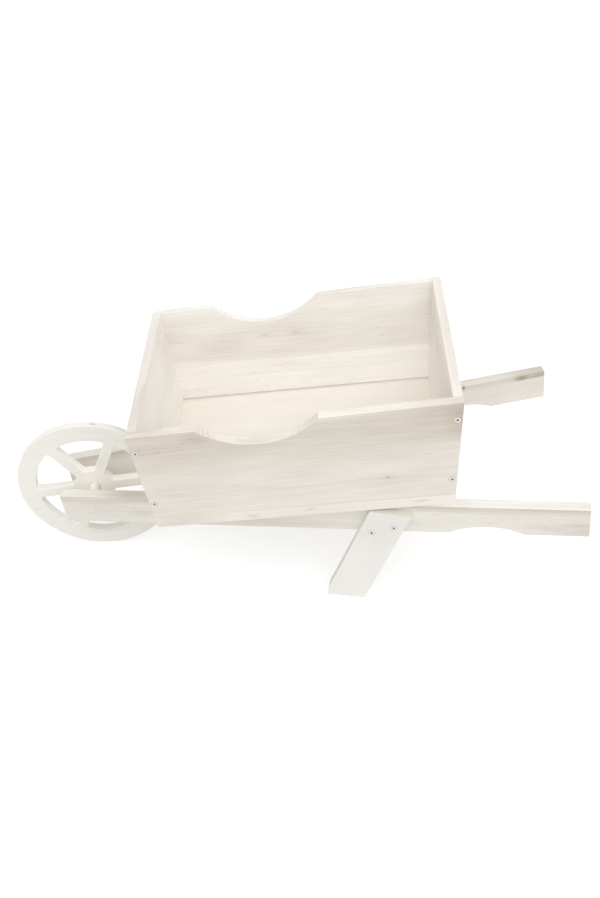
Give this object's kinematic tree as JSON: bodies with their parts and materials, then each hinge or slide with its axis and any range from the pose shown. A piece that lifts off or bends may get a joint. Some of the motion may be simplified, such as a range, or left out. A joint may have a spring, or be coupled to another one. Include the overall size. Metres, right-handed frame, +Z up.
{
  "type": "wheelbarrow planter",
  "caption": "Small wooden wheelbarrow planter: a splayed tray on two converging rails, with a spoked front wheel that turns and two legs.",
  "frame": {"origin": "centre of the bounding box's bottom, on the ground that the wheel and both feet stand on", "axes": "+X towards the handles, +Z up, and -Y on the left of a person who stands behind the handles"},
  "size_m": [0.7522, 0.3068, 0.3374],
  "materials": {
    "whitewashed_wood": "matt whitewash, grain shows faintly",
    "dowel_wood": "matt whitewash",
    "zinc_screw": "bright zinc plating"
  },
  "bodies": {
    "barrow": {"left_rail": "whitewashed_wood", "right_rail": "whitewashed_wood", "left_leg": "whitewashed_wood", "right_leg": "whitewashed_wood", "left_side_board": "whitewashed_wood", "right_side_board": "whitewashed_wood", "front_board": "whitewashed_wood", "rear_board": "whitewashed_wood", "floor_board": "whitewashed_wood", "tray_screws": "zinc_screw", "leg_screws": "zinc_screw", "floor_screws": "zinc_screw", "rail_screws": "zinc_screw"},
    "wheel": {"wheel": "whitewashed_wood", "axle": "dowel_wood"}
  },
  "joints": [
    {"name": "wheel_spin", "type": "hinge", "parent": "barrow", "child": "wheel", "pos_m": [-0.27013, 0.00063, 0.106], "axis": [0, 1, 0], "continuous": true}
  ]
}
